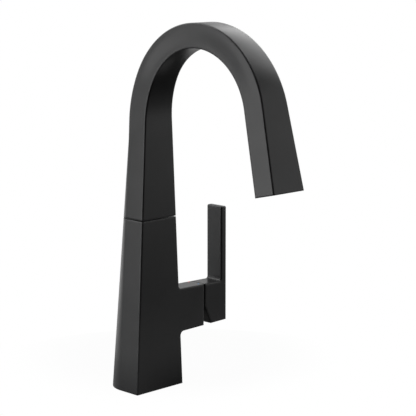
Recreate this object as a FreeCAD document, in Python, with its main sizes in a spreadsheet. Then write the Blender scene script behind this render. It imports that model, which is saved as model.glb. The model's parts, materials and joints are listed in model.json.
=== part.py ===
"""A single-handle gooseneck bar faucet, in millimetres.

The deck is z = 0 and +Z is up. The spout reaches over the sink towards -Y, the handle stands on the
+X side, and the origin is the axis of the mounting shank at deck level.

The column and the spout are one tapering form: a flat front, two flat sides that lean in by the same
slope from the deck to the top of the arch, and a rear that is half round at the deck and square at
the neck. A thin groove divides them, and there the spout turns on a spigot held in the column's deck.
"""
import FreeCAD, Part
import math
import os
import re

import Sketcher
from FreeCAD import Placement, Rotation, Vector

# Driving dimensions: name, value, and what it measures.
SIZES = [
    # the tapering form
    ("base_width", 62.8, "foot, left to right at the deck"),
    ("base_depth", 56.0, "foot, front to rear at the deck"),
    ("front_offset", 26.5, "front face to the mounting axis"),
    ("side_slope", 0.0486, "lean of each side, per millimetre of height"),
    ("foot_corner", 30.8, "rear corner radius at the deck"),
    ("neck_height", 255.0, "where the rear has become square"),
    ("neck_depth", 23.8, "rear leg, front to rear, from the neck up"),
    ("neck_corner", 1.2, "rear corner radius at the neck"),
    ("neck_lap", 6.0, "how far the arch runs down inside the tapering leg"),
    ("edge_round", 1.0, "rounding of the long edges"),
    ("groove_height", 174.0, "lower lip of the swivel groove"),
    ("groove_gap", 1.0, "swivel groove"),
    # column casting
    ("column_wall", 3.0, "wall of the column"),
    ("floor_depth", 12.0, "floor of the column, which holds the shank"),
    ("deck_depth", 12.0, "top deck of the column, which holds the spout"),
    # gooseneck
    ("spring_rise", 17.5, "neck to the beginning of the arch"),
    ("rise_radius", 89.0, "underside of the arch, rising part"),
    ("rise_angle", 26.5, "turn of the rising part"),
    ("crown_radius", 61.0, "underside of the arch, crown"),
    ("crown_angle", 68.5, "turn of the crown"),
    ("fall_radius", 69.0, "underside of the arch, falling part"),
    ("fall_angle", 72.0, "turn of the falling part"),
    ("arch_depth", 23.7, "thickness of the arch"),
    ("leg_length", 79.6, "straight outer leg down to the outlet"),
    ("spout_wall", 2.6, "wall of the spout"),
    ("spout_floor", 10.0, "floor of the spout over the groove"),
    ("outlet_block", 24.0, "solid end of the spout round the outlet"),
    # swivel
    ("swivel_setback", 17.0, "front face to the swivel axis"),
    ("spigot_radius", 9.0, "spigot where it turns in its bush"),
    ("bush_wall", 2.9, "swivel bush"),
    ("flange_radius", 14.0, "flange of the spigot"),
    ("flange_depth", 4.0, "flange of the spigot"),
    ("spigot_drop", 12.0, "spigot below the top deck"),
    ("nipple_radius", 4.1, "hose nipples"),
    ("nipple_length", 14.0, "hose nipples"),
    ("nipple_bore", 3.2, "bore of the hose nipples"),
    ("glide_radius", 14.5, "glide ring"),
    ("glide_play", 0.06, "glide ring under the spout"),
    ("clip_depth", 1.5, "retaining clip"),
    ("clip_width", 2.4, "retaining clip, in to out"),
    ("clip_mouth", 60.0, "opening of the retaining clip, in degrees"),
    ("thrust_depth", 1.6, "thrust washer over the clip"),
    ("screw_circle", 10.4, "circle of the flange screws"),
    ("flange_screw_count", 3, "flange screws"),
    ("flange_screw_radius", 1.5, "flange screw thread"),
    ("flange_screw_head", 2.7, "flange screw head"),
    ("flange_screw_length", 9.0, "flange screw under its head"),
    ("screw_head_depth", 1.8, "flange screw head"),
    # waterways
    ("riser_radius", 5.0, "riser tube, outside"),
    ("riser_wall", 1.0, "riser tube"),
    ("riser_seat", 6.0, "riser tube in its socket"),
    ("hose_radius", 6.0, "inner hose, outside"),
    ("hose_wall", 1.85, "inner hose"),
    ("bend_height", 36.0, "inner hose, height of its bend into the rear leg"),
    ("ferrule_wall", 0.9, "hose ferrules"),
    ("ferrule_length", 7.0, "hose ferrules"),
    # outlet
    ("aerator_radius", 9.3, "aerator housing"),
    ("aerator_length", 10.0, "aerator housing"),
    ("aerator_wall", 1.4, "aerator housing"),
    ("aerator_recess", 0.8, "aerator housing inside the end of the spout"),
    ("outlet_bore_depth", 20.0, "bore for the aerator and its adapter"),
    ("washer_depth", 1.6, "aerator washer"),
    ("jet_radius", 0.85, "water holes of the aerator"),
    ("jet_depth", 3.0, "plate with the water holes"),
    ("inner_jet_circle", 2.5, "inner ring of water holes"),
    ("outer_jet_circle", 5.2, "outer ring of water holes"),
    ("regulator_radius", 5.0, "flow regulator"),
    ("regulator_depth", 2.6, "flow regulator"),
    # handle housing and handle
    ("handle_height", 76.7, "valve axis over the deck"),
    ("handle_depth", 21.1, "housing and handle, front to rear"),
    ("housing_half", 23.0, "valve axis to the top or the underside, on the mounting axis"),
    ("housing_taper", 0.0215, "slope of the top and the underside towards the handle"),
    ("housing_end", 62.0, "end of the housing"),
    ("upper_junction", 3.5, "hollow where the housing leaves the column, above"),
    ("lower_junction", 4.5, "hollow where the housing leaves the column, below"),
    ("handle_gap", 1.2, "slit between housing and handle"),
    ("handle_length", 31.3, "handle, from the slit outwards"),
    ("lever_rise", 99.3, "valve axis to the top of the lever"),
    ("lever_thickness", 7.3, "lever"),
    ("lever_foot", 2.5, "hollow at the foot of the lever"),
    ("lever_tip", 1.8, "rounding of the top of the lever"),
    ("handle_edge", 1.2, "rounding of the edges of housing and handle"),
    ("relief_angle", 24.3, "cut under the handle that lets it tilt"),
    ("relief_length", 22.8, "slanted face of that cut"),
    ("mark_radius", 0.9, "hot and cold marks"),
    ("mark_depth", 0.5, "hot and cold marks"),
    ("mark_inset", 3.2, "marks from the end of the housing"),
    ("mark_spacing", 14.2, "hot mark to cold mark"),
    ("mark_offset", 1.4, "middle of the marks behind the valve axis"),
    # valve
    ("cartridge_radius", 8.5, "cartridge"),
    ("seat_reach", 30.0, "seat of the cartridge from the mounting axis"),
    ("port_foot", 0.7, "seat to the base of the cartridge"),
    ("cartridge_base_depth", 4.9, "base of the cartridge"),
    ("disc_depth", 2.97, "fixed disc"),
    ("fixed_disc_radius", 7.3, "fixed disc"),
    ("water_film", 0.03, "between the two discs"),
    ("moving_disc_depth", 2.8, "moving disc"),
    ("moving_disc_radius", 5.3, "moving disc and its carriage"),
    ("disc_flat", 4.9, "flats of the moving disc and its carriage"),
    ("mixing_radius", 3.6, "mixing recess of the moving disc"),
    ("mixing_depth", 1.2, "mixing recess of the moving disc"),
    ("carriage_depth", 4.2, "disc carriage"),
    ("sleeve_wall", 1.0, "sleeve of the cartridge"),
    ("nut_depth", 4.0, "cartridge nut"),
    ("nut_inset", 0.5, "cartridge nut inside the end of the housing"),
    ("nut_throat", 5.4, "inner end of the nut's cone"),
    ("nut_mouth", 7.1, "outer end of the nut's cone"),
    ("pivot_inset", 9.0, "pivot pin from the end of the housing"),
    ("pin_radius", 1.25, "pivot pin"),
    ("tilt_range", 22.0, "tilt of the handle, in degrees"),
    ("tip_reach", 9.0, "pivot pin to the tip of the stem"),
    ("tip_radius", 1.8, "ball at the tip of the stem"),
    ("arm_radius", 1.4, "inner arm of the stem"),
    ("hub_radius", 3.4, "hub of the stem"),
    ("hub_width", 4.8, "hub of the stem, and over its flats"),
    ("flat_reach", 6.0, "pivot pin to the end of the stem's flats"),
    ("stem_radius", 3.0, "outer arm of the stem"),
    ("stem_reach", 19.0, "stem inside the handle"),
    ("yoke_web", 2.1, "web of the stem carrier"),
    ("yoke_window", 3.2, "window in that web"),
    ("adapter_wall", 1.95, "adapter between stem and handle"),
    ("adapter_inset", 2.0, "adapter inside the slit's face of the handle"),
    ("inlet_port_radius", 1.5, "hot and cold ports"),
    ("outlet_port_radius", 2.0, "mixed port"),
    ("port_side", 3.6, "hot and cold ports beside the valve axis"),
    ("port_drop", 3.2, "hot and cold ports under the valve axis"),
    ("port_rise", 3.6, "mixed port over the valve axis"),
    ("seal_radius", 2.6, "port seals"),
    ("seal_wall", 0.6, "port seals"),
    ("seal_depth", 1.6, "port seals"),
    # set screw
    ("screw_setback", 16.0, "set screw from the slit"),
    ("set_screw_radius", 2.05, "set screw"),
    ("set_screw_length", 11.0, "set screw"),
    ("hex_socket", 1.25, "hex socket of the set screw"),
    ("plug_radius", 2.4, "plug under the set screw"),
    ("plug_depth", 3.0, "plug under the set screw"),
    # inlets and mounting
    ("core_width", 26.0, "valve block inside the column"),
    ("core_drop", 18.5, "valve axis to the underside of the block"),
    ("core_rise", 17.5, "valve axis to the top of the block"),
    ("core_rear", 7.5, "mounting axis to the rear of the block"),
    ("inlet_spread", 13.0, "hot inlet to cold inlet"),
    ("inlet_radius", 4.5, "inlet thread"),
    ("inlet_depth", 10.0, "inlet thread"),
    ("shank_radius", 15.0, "mounting shank"),
    ("shank_bore", 12.5, "bore of the shank"),
    ("shank_drop", 58.0, "shank below the deck"),
    ("gasket_radius", 24.0, "base gasket"),
    ("gasket_depth", 2.0, "base gasket"),
    ("clamp_depth", 30.0, "deck that the washers leave room for"),
    ("washer_radius", 25.0, "deck washers"),
    ("rubber_depth", 2.5, "rubber deck washer"),
    ("steel_depth", 1.5, "steel deck washer"),
    ("nut_radius", 23.0, "mounting nut over its corners"),
    ("nut_height", 10.0, "mounting nut"),
    # clearances
    ("running", 0.05, "radial clearance of what turns"),
    ("fit", 0.05, "radial clearance of what only seats"),
    ("side_play", 0.1, "clearance beside what slides or swings"),
    ("seal_cord", 0.6, "section radius of the O-rings"),
    ("gland_play", 0.1, "length of a gland over its O-ring"),
]

# Places that follow from the driving dimensions: name and formula.
PLACES = [
    ("front_y", "-front_offset"),
    ("foot_rear", "base_depth - front_offset"),
    ("neck_rear", "neck_depth - front_offset"),
    ("spring_height", "neck_height + spring_rise"),
    ("spout_foot", "groove_height + groove_gap"),
    ("deck_underside", "groove_height - deck_depth"),
    ("swivel_y", "swivel_setback - front_offset"),
    # the underside of the arch, corner by corner
    ("rise_y", "front_y + rise_radius * (cos(rise_angle) - 1)"),
    ("rise_z", "spring_height + rise_radius * sin(rise_angle)"),
    ("crown_turn", "rise_angle + crown_angle"),
    ("crown_y", "rise_y + crown_radius * (cos(crown_turn) - cos(rise_angle))"),
    ("crown_z", "rise_z + crown_radius * (sin(crown_turn) - sin(rise_angle))"),
    ("leg_turn", "crown_turn + fall_angle"),
    ("fall_y", "crown_y + fall_radius * (cos(leg_turn) - cos(crown_turn))"),
    ("fall_z", "crown_z + fall_radius * (sin(leg_turn) - sin(crown_turn))"),
    ("tip_y", "fall_y - leg_length * sin(leg_turn)"),
    ("tip_z", "fall_z + leg_length * cos(leg_turn)"),
    # the leg's depth at the outlet, and the middle of the outlet
    ("depth_loss", "neck_depth - arch_depth"),
    ("over_y", "arch_depth * cos(leg_turn) + depth_loss"),
    ("over_z", "arch_depth * sin(leg_turn)"),
    ("leg_depth", "arch_depth + depth_loss * cos(leg_turn)"),
    ("outlet_y", "tip_y + leg_depth / 2 * cos(leg_turn)"),
    ("outlet_z", "tip_z + leg_depth / 2 * sin(leg_turn)"),
    ("outlet_tilt", "leg_turn - 180"),
    # valve
    ("valve_y", "handle_depth / 2 - front_offset"),
    # the centres of the hollows between column and housing, tangent to both
    ("lean_cos", "1 / sqrt(1 + side_slope ^ 2)"),
    ("lean_sin", "side_slope * lean_cos"),
    ("sag_cos", "1 / sqrt(1 + housing_taper ^ 2)"),
    ("sag_sin", "housing_taper * sag_cos"),
    ("upper_reach", "base_width / 2 + upper_junction / lean_cos"),
    ("upper_level", "handle_height + housing_half + upper_junction / sag_cos"),
    ("upper_hollow_z", "(upper_level - housing_taper * upper_reach) / "
                       "(1 - side_slope * housing_taper)"),
    ("upper_hollow_x", "upper_reach - side_slope * upper_hollow_z"),
    ("lower_reach", "base_width / 2 + lower_junction / lean_cos"),
    ("lower_level", "handle_height - housing_half - lower_junction / sag_cos"),
    ("lower_hollow_z", "(lower_level + housing_taper * lower_reach) / "
                       "(1 + side_slope * housing_taper)"),
    ("lower_hollow_x", "lower_reach - side_slope * lower_hollow_z"),
    ("pivot_x", "housing_end - pivot_inset"),
    ("base_x", "seat_reach + port_foot"),
    ("fixed_disc_x", "base_x + cartridge_base_depth"),
    ("moving_disc_x", "fixed_disc_x + disc_depth + water_film"),
    ("carriage_x", "moving_disc_x + moving_disc_depth"),
    ("carriage_end", "carriage_x + carriage_depth"),
    ("nut_end", "housing_end - nut_inset"),
    ("nut_x", "nut_end - nut_depth"),
    ("slit_x", "housing_end + handle_gap"),
    ("handle_end", "slit_x + handle_length"),
    ("lever_x", "handle_end - lever_thickness"),
    ("lever_hollow_x", "lever_x - lever_foot"),
    ("lever_hollow_z", "handle_height + housing_half - housing_taper * lever_hollow_x + "
                       "lever_foot / sag_cos"),
    ("stem_end", "slit_x + stem_reach"),
    ("tip_drop", "tip_reach * sin(tilt_range / 2)"),
    ("carriage_z", "handle_height - tip_drop"),
    ("relief_x", "slit_x + relief_length * sin(relief_angle)"),
    ("screw_x", "slit_x + screw_setback"),
    ("port_z", "handle_height - port_drop"),
    ("mixed_z", "handle_height + port_rise"),
    ("core_foot", "handle_height - core_drop"),
    ("core_top", "handle_height + core_rise"),
    ("core_half", "core_width / 2"),
    # swivel
    ("spigot_foot", "deck_underside - spigot_drop"),
    ("bush_outer", "spigot_radius + running + bush_wall"),
    ("thrust_z", "deck_underside - side_play - thrust_depth"),
    ("clip_z", "thrust_z - side_play - clip_depth"),
    ("clip_seat", "spigot_radius - 1"),
    ("flange_top", "spout_foot + flange_depth"),
    ("nipple_top", "spout_foot + spout_floor + nipple_length"),
    ("riser_foot", "core_top - riser_seat"),
    ("riser_top", "deck_underside - 2"),
    ("hose_foot", "spout_foot + spout_floor + side_play"),
    ("bend_foot", "nipple_top + 1"),
    ("hose_y", "front_y + neck_depth / 2"),
    ("bend_shift", "swivel_y - hose_y"),
    ("bend_radius", "(bend_height ^ 2 + bend_shift ^ 2) / (4 * bend_shift)"),
    # outlet, measured inwards from the end of the spout
    ("aerator_end", "aerator_recess + aerator_length"),
    ("adapter_foot", "aerator_end + washer_depth"),
    ("shelf_depth", "outlet_bore_depth"),
    ("outlet_nipple", "outlet_block + 10"),
    # deck stack
    ("rubber_z", "-clamp_depth - rubber_depth"),
    ("steel_z", "rubber_z - steel_depth"),
    ("nut_z", "steel_z - nut_height"),
]

doc = FreeCAD.newDocument("bar_faucet")
sheet_of = {}
nodes = {}


def fill_sheets():
    """Write the driving dimensions as plain numbers, and the places as formulas on them."""
    sizes = doc.addObject("Spreadsheet::Sheet", "Sizes")
    for row, (name, value, meaning) in enumerate(SIZES, start=1):
        sizes.set(f"A{row}", str(value))
        sizes.setAlias(f"A{row}", name)
        sizes.set(f"B{row}", meaning)
        sheet_of[name] = "Sizes"
    places = doc.addObject("Spreadsheet::Sheet", "Places")
    for row, (name, formula) in enumerate(PLACES, start=1):
        places.set(f"A{row}", "=" + bound(formula))
        places.setAlias(f"A{row}", name)
        sheet_of[name] = "Places"
    doc.recompute()
    return places


def bound(text):
    """Name the sheet of every size in a formula, so that any object can hold it."""
    return re.sub(r"[a-z]\w*", lambda word: name_in_sheet(word.group()), str(text))


def name_in_sheet(word):
    return f"{sheet_of[word]}.{word}" if word in sheet_of else word


def number(text):
    return float(PLACES_SHEET.evalExpression(bound(text)))


# Frames: the base point and the turn that carry a piece drawn upright onto its own axis.
FRAMES = {
    "deck": (("0", "0", "0"), Vector(0, 0, 1), "0"),
    "swivel": (("0", "swivel_y", "0"), Vector(0, 0, 1), "0"),
    "valve": (("0", "valve_y", "handle_height"), Vector(0, 1, 0), "90"),
    "outlet": (("0", "outlet_y", "outlet_z"), Vector(1, 0, 0), "outlet_tilt"),
}
TURNS = {"x": (Vector(0, 1, 0), 90), "y": (Vector(1, 0, 0), -90), "z": (Vector(0, 0, 1), 0)}


def place(piece, base, axis=Vector(0, 0, 1), angle="0"):
    """Put a piece at a base point given in formulas, turned about an axis."""
    piece.Placement = Placement(Vector(), Rotation(axis, number(angle)))
    for part, formula in zip("xyz", base):
        piece.setExpression(f"Placement.Base.{part}", bound(formula))
    if angle in sheet_of:
        piece.setExpression("Placement.Rotation.Angle", bound(angle))
    return piece


def node(name, piece):
    """Keep a finished piece under its own name."""
    piece.Label = name
    nodes[name] = piece
    return piece


# ---- Part primitives bound to the sheets

def cylinder(radius, length, base, along="z"):
    piece = doc.addObject("Part::Cylinder", "Cylinder")
    piece.setExpression("Radius", bound(radius))
    piece.setExpression("Height", bound(length))
    axis, angle = TURNS[along]
    return place(piece, base, axis, str(angle))


def box(low, high):
    """A box between two corners given in formulas."""
    piece = doc.addObject("Part::Box", "Box")
    for side, start, end in zip(("Length", "Width", "Height"), low, high):
        piece.setExpression(side, bound(f"({end}) - ({start})"))
    return place(piece, low)


def ring_seal(middle_radius, height, frame):
    """An O-ring round a frame's axis."""
    piece = doc.addObject("Part::Torus", "Seal")
    piece.setExpression("Radius1", bound(middle_radius))
    piece.setExpression("Radius2", bound("seal_cord"))
    base, axis, angle = FRAMES[frame]
    if frame == "valve":
        base = (height, base[1], base[2])
    else:
        base = (base[0], base[1], height)
    return place(piece, base, axis, angle)


def joined(name, pieces):
    piece = doc.addObject("Part::MultiFuse", name)
    piece.Shapes = pieces
    return piece


def without(name, base, tools):
    """The base with every tool cut out of it."""
    piece = doc.addObject("Part::Cut", name)
    piece.Base = base
    piece.Tool = tools[0] if len(tools) == 1 else joined(name + "_tools", tools)
    return piece


def shared(name, first, second):
    piece = doc.addObject("Part::Common", name)
    piece.Base = first
    piece.Tool = second
    return piece


def grouped(name, pieces):
    """Alike pieces that stay separate solids in one node."""
    piece = doc.addObject("Part::Compound", name)
    piece.Links = pieces
    return piece


# ---- sketches and bodies bound to the sheets

def new_body(name):
    return doc.addObject("PartDesign::Body", name)


def new_sketch(body, name, role, offset=None):
    """A sketch on one of the body's own planes, lifted off it by a formula."""
    sketch = body.newObject("Sketcher::SketchObject", name)
    plane = next(f for f in body.Origin.OriginFeatures if f.Role == role)
    sketch.AttachmentSupport = [(plane, "")]
    sketch.MapMode = "FlatFace"
    if offset:
        sketch.setExpression("AttachmentOffset.Base.z", bound(offset))
    return sketch


def arc_between(start, end, radius, turn):
    """The short arc from start to end, to the left for turn 1 and to the right for turn -1."""
    chord = end - start
    rise = math.sqrt(max(radius ** 2 - (chord.Length / 2) ** 2, 0.0))
    side = Vector(-chord.y, chord.x, 0).normalize() * (rise * turn)
    centre = (start + end) / 2 + side
    first, last = (start, end) if turn > 0 else (end, start)
    angles = [math.atan2(p.y - centre.y, p.x - centre.x) for p in (first, last)]
    circle = Part.Circle(centre, Vector(0, 0, 1), radius)
    return Part.ArcOfCircle(circle, angles[0], angles[1])


def draw_outline(sketch, corners, closed=True):
    """Draw an outline through corners given in formulas, and bind each corner and radius.

    A corner is (x, y), or (x, y, radius, turn) where an arc leads on to the next corner.
    """
    points = [Vector(number(c[0]), number(c[1]), 0) for c in corners]
    count = len(corners) if closed else len(corners) - 1
    first = sketch.GeometryCount
    ends = []
    for i in range(count):
        start, end = points[i], points[(i + 1) % len(points)]
        if len(corners[i]) == 2:
            sketch.addGeometry(Part.LineSegment(start, end), False)
            ends.append((1, 2))
            continue
        radius, turn = corners[i][2:]
        sketch.addGeometry(arc_between(start, end, number(radius), turn), False)
        ends.append((1, 2) if turn > 0 else (2, 1))
        index = sketch.addConstraint(Sketcher.Constraint("Radius", first + i, number(radius)))
        sketch.setExpression(f"Constraints[{index}]", bound(radius))
    for i in range(count):
        if closed or i + 1 < count:
            follow = (i + 1) % count
            sketch.addConstraint(Sketcher.Constraint(
                "Coincident", first + i, ends[i][1], first + follow, ends[follow][0]))
    for i, corner in enumerate(corners):
        edge = min(i, count - 1)
        end = ends[edge][0] if i < count else ends[edge][1]
        for kind, formula in (("DistanceX", corner[0]), ("DistanceY", corner[1])):
            index = sketch.addConstraint(
                Sketcher.Constraint(kind, -1, 1, first + edge, end, number(formula)))
            sketch.setExpression(f"Constraints[{index}]", bound(formula))
    return sketch


def draw_circle(sketch, radius, x="0", y="0"):
    index = sketch.addGeometry(
        Part.Circle(Vector(number(x), number(y), 0), Vector(0, 0, 1), number(radius)), False)
    rows = (("DistanceX", x), ("DistanceY", y))
    for kind, formula in rows:
        row = sketch.addConstraint(Sketcher.Constraint(kind, -1, 1, index, 3, number(formula)))
        sketch.setExpression(f"Constraints[{row}]", bound(formula))
    row = sketch.addConstraint(Sketcher.Constraint("Radius", index, number(radius)))
    sketch.setExpression(f"Constraints[{row}]", bound(radius))
    return sketch


def pad(body, sketch, length, both_ways=False, backwards=False):
    feature = body.newObject("PartDesign::Pad", sketch.Name + "_pad")
    feature.Profile = sketch
    feature.setExpression("Length", bound(length))
    feature.SideType = "Symmetric" if both_ways else "One side"
    feature.Reversed = backwards
    return feature


def pocket(body, sketch, length, both_ways=False, backwards=False):
    feature = body.newObject("PartDesign::Pocket", sketch.Name + "_pocket")
    feature.Profile = sketch
    feature.setExpression("Length", bound(length))
    feature.SideType = "Symmetric" if both_ways else "One side"
    feature.Reversed = backwards
    return feature


def loft(body, kind, sections):
    feature = body.newObject("PartDesign::" + kind, sections[0].Name + "_loft")
    feature.Profile = sections[0]
    feature.Sections = sections[1:]
    feature.Ruled = True
    return feature


def round_edges(body, name, radius, wanted):
    """Fillet every edge of the body's last feature that the test wants."""
    doc.recompute()
    base = body.Tip
    picked = [f"Edge{i}" for i, edge in enumerate(base.Shape.Edges, start=1) if wanted(edge)]
    feature = body.newObject("PartDesign::Fillet", name)
    feature.Base = (base, picked)
    feature.setExpression("Radius", bound(radius))
    return feature


def turned(name, outline, frame):
    """A piece turned on a lathe: its outline is (radius, height along the frame's axis)."""
    body = new_body(name)
    sketch = draw_outline(new_sketch(body, name + "_outline", "XZ_Plane"), outline)
    feature = body.newObject("PartDesign::Revolution", name + "_turned")
    feature.Profile = sketch
    feature.ReferenceAxis = (sketch, ["V_Axis"])
    feature.Angle = 360
    place(body, *FRAMES[frame])
    return body


def tube(name, inner, outer, low, high, frame):
    return turned(name, [(inner, low), (outer, low), (outer, high), (inner, high)], frame)


# ---- the tapering form

def half_width(z):
    return f"(base_width / 2 - side_slope * ({z}))"


def rear_at(z):
    return f"(foot_rear + (neck_rear - foot_rear) * ({z}) / neck_height)"


def corner_at(z):
    return f"(foot_corner + (neck_corner - foot_corner) * ({z}) / neck_height)"


def form_section(body, name, z, inset="0", corner=None):
    """A level section of the form: a flat front, flat sides and round rear corners."""
    half = f"({half_width(z)} - {inset})"
    front = f"(front_y + {inset})"
    rear = f"({rear_at(z)} - {inset})"
    radius = corner or f"({corner_at(z)} - {inset})"
    sketch = new_sketch(body, name, "XY_Plane", z)
    return draw_outline(sketch, [
        (f"-{half}", front),
        (half, front),
        (half, f"{rear} - {radius}", radius, 1),
        (f"{half} - {radius}", rear),
        (f"{radius} - {half}", rear, radius, 1),
        (f"-{half}", f"{rear} - {radius}"),
    ])


def topside(x):
    """Height of the top of the housing and of the handle's block."""
    return f"(handle_height + housing_half - housing_taper * ({x}))"


def underside(x):
    """Height of the housing's and the handle's underside."""
    return f"(handle_height - housing_half + housing_taper * ({x}))"


# ---- column

def column_form():
    """The column and the handle's housing as one cast outer form, hollow inside."""
    body = new_body("ColumnForm")
    pad(body, housing_outline(body), "handle_depth", backwards=True)
    on_rear = lies_on("front_y + handle_depth")

    def beside_column(edge):
        middle = middle_of(edge)
        return on_rear(edge) and middle.x > number(half_width(middle.z))

    round_edges(body, "HousingEdges", "edge_round", beside_column)
    loft(body, "AdditiveLoft", [
        form_section(body, "column_foot", "0"),
        form_section(body, "column_top", "groove_height"),
    ])
    on_front = lies_on("front_y")
    lip = number("groove_height")

    def long_front(edge):
        box_ = edge.BoundBox
        level = box_.ZLength < 0.01 and (abs(box_.ZMin) < 0.01 or abs(box_.ZMin - lip) < 0.01)
        return on_front(edge) and not level

    round_edges(body, "FrontEdges", "edge_round", long_front)
    loft(body, "SubtractiveLoft", [
        form_section(body, "cavity_foot", "floor_depth", "column_wall"),
        form_section(body, "cavity_top", "deck_underside", "column_wall"),
    ])
    valve_block(body)
    doc.recompute()
    return body


def lies_on(y):
    """A test for edges that lie wholly in the upright plane at a given y."""
    level = number(y)

    def on_plane(edge):
        box_ = edge.BoundBox
        return box_.YLength < 0.01 and abs(box_.YMin - level) < 0.01

    return on_plane


def housing_outline(body):
    """The housing seen from the front, with the hollows that run out of the column's side."""
    sketch = new_sketch(body, "housing", "XZ_Plane", "front_offset")
    upper_z = "upper_hollow_z - upper_junction * lean_sin"
    lower_z = "lower_hollow_z - lower_junction * lean_sin"
    return draw_outline(sketch, [
        ("core_half", upper_z),
        ("upper_hollow_x - upper_junction * lean_cos", upper_z, "upper_junction", 1),
        ("upper_hollow_x - upper_junction * sag_sin", "upper_hollow_z - upper_junction * sag_cos"),
        ("housing_end", topside("housing_end")),
        ("housing_end", underside("housing_end")),
        ("lower_hollow_x - lower_junction * sag_sin", "lower_hollow_z + lower_junction * sag_cos",
         "lower_junction", 1),
        ("lower_hollow_x - lower_junction * lean_cos", lower_z),
        ("core_half", lower_z),
    ])


def valve_block(body):
    """The solid block inside the column that carries the waterways."""
    seat = new_sketch(body, "valve_seat_block", "XY_Plane", "core_foot")
    draw_outline(seat, [
        ("-core_half", "front_y + column_wall / 2"),
        (f"{half_width('core_top')} - column_wall / 2", "front_y + column_wall / 2"),
        (f"{half_width('core_top')} - column_wall / 2", "front_y + handle_depth - column_wall"),
        ("core_half", "front_y + handle_depth - column_wall"),
        ("core_half", "core_rear"),
        ("-core_half", "core_rear"),
    ])
    pad(body, seat, "core_top - core_foot")


def column_drillings():
    """Shank thread, gasket recess, cartridge bore, ports, inlets and the bores for the riser."""
    inlet_x = "inlet_spread / 2"
    port = "inlet_port_radius"
    mixed = "outlet_port_radius"
    hot_y = "valve_y + port_side"
    cold_y = "valve_y - port_side"
    gland = "riser_radius + fit"
    return [
        cylinder("shank_radius + fit", "floor_depth + 2", ("0", "0", "-1")),
        cylinder("gasket_radius + fit", "gasket_depth", ("0", "0", "0")),
        cylinder("cartridge_radius + fit", "housing_end - seat_reach + 1",
                 ("seat_reach", "valve_y", "handle_height"), "x"),
        cylinder(port, f"seat_reach + 1 - ({inlet_x})", (inlet_x, hot_y, "port_z"), "x"),
        cylinder(port, f"seat_reach + 1 + ({inlet_x})", (f"-({inlet_x})", cold_y, "port_z"), "x"),
        cylinder(port, f"-({hot_y})", (inlet_x, hot_y, "port_z"), "y"),
        cylinder(port, f"-({cold_y})", (f"-({inlet_x})", cold_y, "port_z"), "y"),
        cylinder(port, "port_z - core_foot", (inlet_x, "0", "core_foot")),
        cylinder(port, "port_z - core_foot", (f"-({inlet_x})", "0", "core_foot")),
        cylinder("inlet_radius", "inlet_depth + 1", (inlet_x, "0", "core_foot - 1")),
        cylinder("inlet_radius", "inlet_depth + 1", (f"-({inlet_x})", "0", "core_foot - 1")),
        cylinder(mixed, "seat_reach + 1", ("0", "valve_y", "mixed_z"), "x"),
        cylinder(mixed, "swivel_y - valve_y", ("0", "valve_y", "mixed_z"), "y"),
        cylinder(mixed, "core_top - mixed_z", ("0", "swivel_y", "mixed_z")),
        cylinder(gland, "riser_seat + 1", ("0", "swivel_y", "riser_foot")),
        cylinder("riser_radius + 2 * seal_cord + fit", "2 * seal_cord + gland_play",
                 ("0", "swivel_y", "core_top - 4")),
        cylinder("bush_outer + fit", "deck_depth + 2", ("0", "swivel_y", "deck_underside - 1")),
        cylinder("mark_radius + fit", "mark_depth + 1", mark_place("hot", "-mark_depth")),
        cylinder("mark_radius + fit", "mark_depth + 1", mark_place("cold", "-mark_depth")),
    ]


def mark_place(side, lift):
    """Where the hot mark (rear) or the cold mark (front) lies on top of the housing."""
    sign = "+" if side == "hot" else "-"
    return ("housing_end - mark_inset", f"valve_y + mark_offset {sign} mark_spacing / 2",
            topside("housing_end - mark_inset") + f" + ({lift})")


def make_column():
    node("body_column", without("Column", column_form(), column_drillings()))
    for side in ("hot", "cold"):
        mark = cylinder("mark_radius", "mark_depth + 0.05", mark_place(side, "-mark_depth"))
        node(side + "_mark", mark)


def make_mounting():
    """What seals the foot and clamps it to the deck."""
    thread = "shank_radius + fit"
    node("base_gasket", tube("gasket", f"{thread} + fit", "gasket_radius", "0", "gasket_depth", "deck"))
    node("mounting_shank", tube("shank", "shank_bore", "shank_radius", "-shank_drop",
                                "floor_depth", "deck"))
    node("deck_rubber_washer", tube("rubber_washer", thread, "washer_radius", "rubber_z",
                                    "-clamp_depth", "deck"))
    node("deck_steel_washer", tube("steel_washer", thread, "washer_radius", "steel_z",
                                   "rubber_z", "deck"))
    body = new_body("nut")
    sketch = new_sketch(body, "nut_hex", "XY_Plane", "nut_z")
    hexagon = [(f"nut_radius * cos({60 * i})", f"nut_radius * sin({60 * i})") for i in range(6)]
    draw_outline(sketch, hexagon)
    draw_circle(sketch, thread)
    pad(body, sketch, "nut_height")
    node("mounting_nut", body)


# ---- spout

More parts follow.
